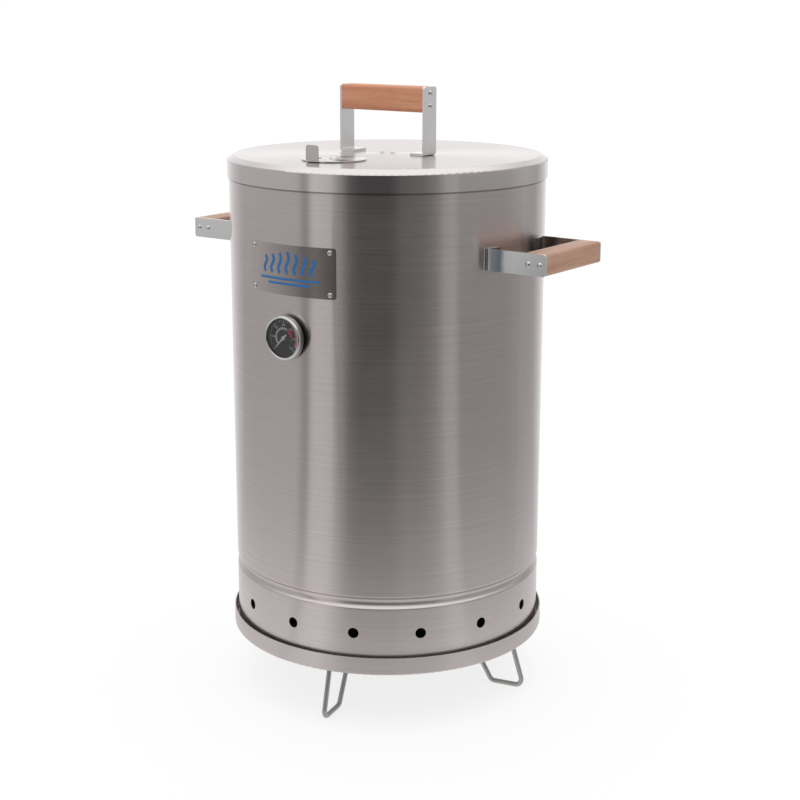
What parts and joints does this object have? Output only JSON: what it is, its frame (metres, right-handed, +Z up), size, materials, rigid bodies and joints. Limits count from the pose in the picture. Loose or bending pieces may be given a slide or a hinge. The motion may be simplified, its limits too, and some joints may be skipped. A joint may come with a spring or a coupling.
{
  "type": "charcoal drum smoker",
  "caption": "Round stainless barrel smoker on a base pan with wire legs, lift-off lid with rotary damper, dial thermometer, wooden grips and food hooks on rods inside.",
  "frame": {"origin": "on the floor under the barrel's axis", "axes": "+Z up along the barrel's axis; -Y is the front, with the nameplate and thermometer; the side handles are at +X and -X"},
  "size_m": [0.525, 0.4034, 0.7488],
  "materials": {
    "barrel_steel": "brushed stainless, grain round the barrel",
    "lid_steel": "brushed stainless, satin",
    "pan_steel": "brushed stainless, satin",
    "leg_wire": "bare drawn wire, dull",
    "strap_steel": "polished flat bar",
    "plate_steel": "fine satin",
    "rivet_steel": "bright",
    "fitting_steel": "turned, satin",
    "grip_wood": "oiled reddish hardwood",
    "housing_black": "black enamel",
    "bezel_chrome": "polished",
    "dial_face": "matt dark dial with a printed scale arc",
    "dial_glass": "clear, polished",
    "needle": "off-white paint",
    "grate_wire": "plated wire",
    "rod_steel": "drawn bar",
    "hook_steel": "polished wire",
    "basket_steel": "plain steel, heat-dulled"
  },
  "bodies": {
    "base": {"base_pan": "pan_steel", "front_leg": "leg_wire", "right_leg": "leg_wire", "rear_leg": "leg_wire", "left_leg": "leg_wire"},
    "barrel": {"barrel": "barrel_steel", "nameplate": "plate_steel", "nameplate_rivets": "rivet_steel", "thermometer_housing": "housing_black", "thermometer_bezel": "bezel_chrome", "thermometer_dial": "dial_face", "thermometer_glass": "dial_glass", "thermometer_stem": "fitting_steel", "thermometer_nut": "fitting_steel", "right_handle_front_strap": "strap_steel", "right_handle_rear_strap": "strap_steel", "right_handle_grip": "grip_wood", "right_handle_screws": "rivet_steel", "left_handle_front_strap": "strap_steel", "left_handle_rear_strap": "strap_steel", "left_handle_grip": "grip_wood", "left_handle_screws": "rivet_steel", "grate_brackets": "fitting_steel", "rod_brackets": "fitting_steel"},
    "lid": {"lid": "lid_steel", "lid_handle_left_strap": "strap_steel", "lid_handle_right_strap": "strap_steel", "lid_handle_grip": "grip_wood", "lid_handle_screws": "rivet_steel", "damper_rivet": "rivet_steel", "lid_hook": "strap_steel", "lid_hook_rivets": "rivet_steel"},
    "damper": {"damper_disc": "lid_steel"},
    "needle": {"thermometer_needle": "needle"},
    "cooking_grate": {"cooking_grate_rim": "grate_wire", "cooking_grate_bars": "grate_wire", "cooking_grate_handles": "grate_wire"},
    "front_rod": {"front_hanging_rod": "rod_steel"},
    "rear_rod": {"rear_hanging_rod": "rod_steel"},
    "basket": {"basket_wall": "basket_steel", "basket_grate": "basket_steel"},
    "bail": {"basket_bail": "basket_steel"},
    "front_hook_1": {"front_meat_hook_1": "hook_steel"},
    "rear_hook_1": {"rear_meat_hook_1": "hook_steel"},
    "front_hook_2": {"front_meat_hook_2": "hook_steel"},
    "rear_hook_2": {"rear_meat_hook_2": "hook_steel"}
  },
  "joints": [
    {"name": "barrel_lift", "type": "slide", "parent": "base", "child": "barrel", "axis": [0, 0, 1], "range_m": [0, 0.16]},
    {"name": "lid_lift", "type": "slide", "parent": "barrel", "child": "lid", "axis": [0, 0, 1], "range_m": [0, 0.15]},
    {"name": "damper_turn", "type": "hinge", "parent": "lid", "child": "damper", "pos_m": [0, -0.105, 0.66782], "axis": [0, 0, 1], "continuous": true},
    {"name": "needle_turn", "type": "hinge", "parent": "barrel", "child": "needle", "pos_m": [0, -0.2, 0.4729], "axis": [0, 1, 0], "range_deg": [0, 270]},
    {"name": "grate_lift", "type": "slide", "parent": "barrel", "child": "cooking_grate", "axis": [0, 0, 1], "range_m": [0, 0.055]},
    {"name": "front_rod_lift", "type": "slide", "parent": "barrel", "child": "front_rod", "axis": [0, 0, 1], "range_m": [0, 0.028]},
    {"name": "rear_rod_lift", "type": "slide", "parent": "barrel", "child": "rear_rod", "axis": [0, 0, 1], "range_m": [0, 0.028]},
    {"name": "basket_lift", "type": "slide", "parent": "base", "child": "basket", "axis": [0, 0, 1], "range_m": [0, 0.055]},
    {"name": "bail_swing", "type": "hinge", "parent": "basket", "child": "bail", "pos_m": [0, 0, 0.1794], "axis": [-1, 0, 0], "range_deg": [0, 208]},
    {"name": "front_hook_1_swing", "type": "hinge", "parent": "front_rod", "child": "front_hook_1", "pos_m": [0, -0.06, 0.6249], "axis": [1, 0, 0], "range_deg": [-30, 30]},
    {"name": "rear_hook_1_swing", "type": "hinge", "parent": "rear_rod", "child": "rear_hook_1", "pos_m": [0, 0.06, 0.6249], "axis": [1, 0, 0], "range_deg": [-30, 30]},
    {"name": "front_hook_2_swing", "type": "hinge", "parent": "front_rod", "child": "front_hook_2", "pos_m": [0, -0.06, 0.6249], "axis": [1, 0, 0], "range_deg": [-30, 30]},
    {"name": "rear_hook_2_swing", "type": "hinge", "parent": "rear_rod", "child": "rear_hook_2", "pos_m": [0, 0.06, 0.6249], "axis": [1, 0, 0], "range_deg": [-30, 30]}
  ]
}
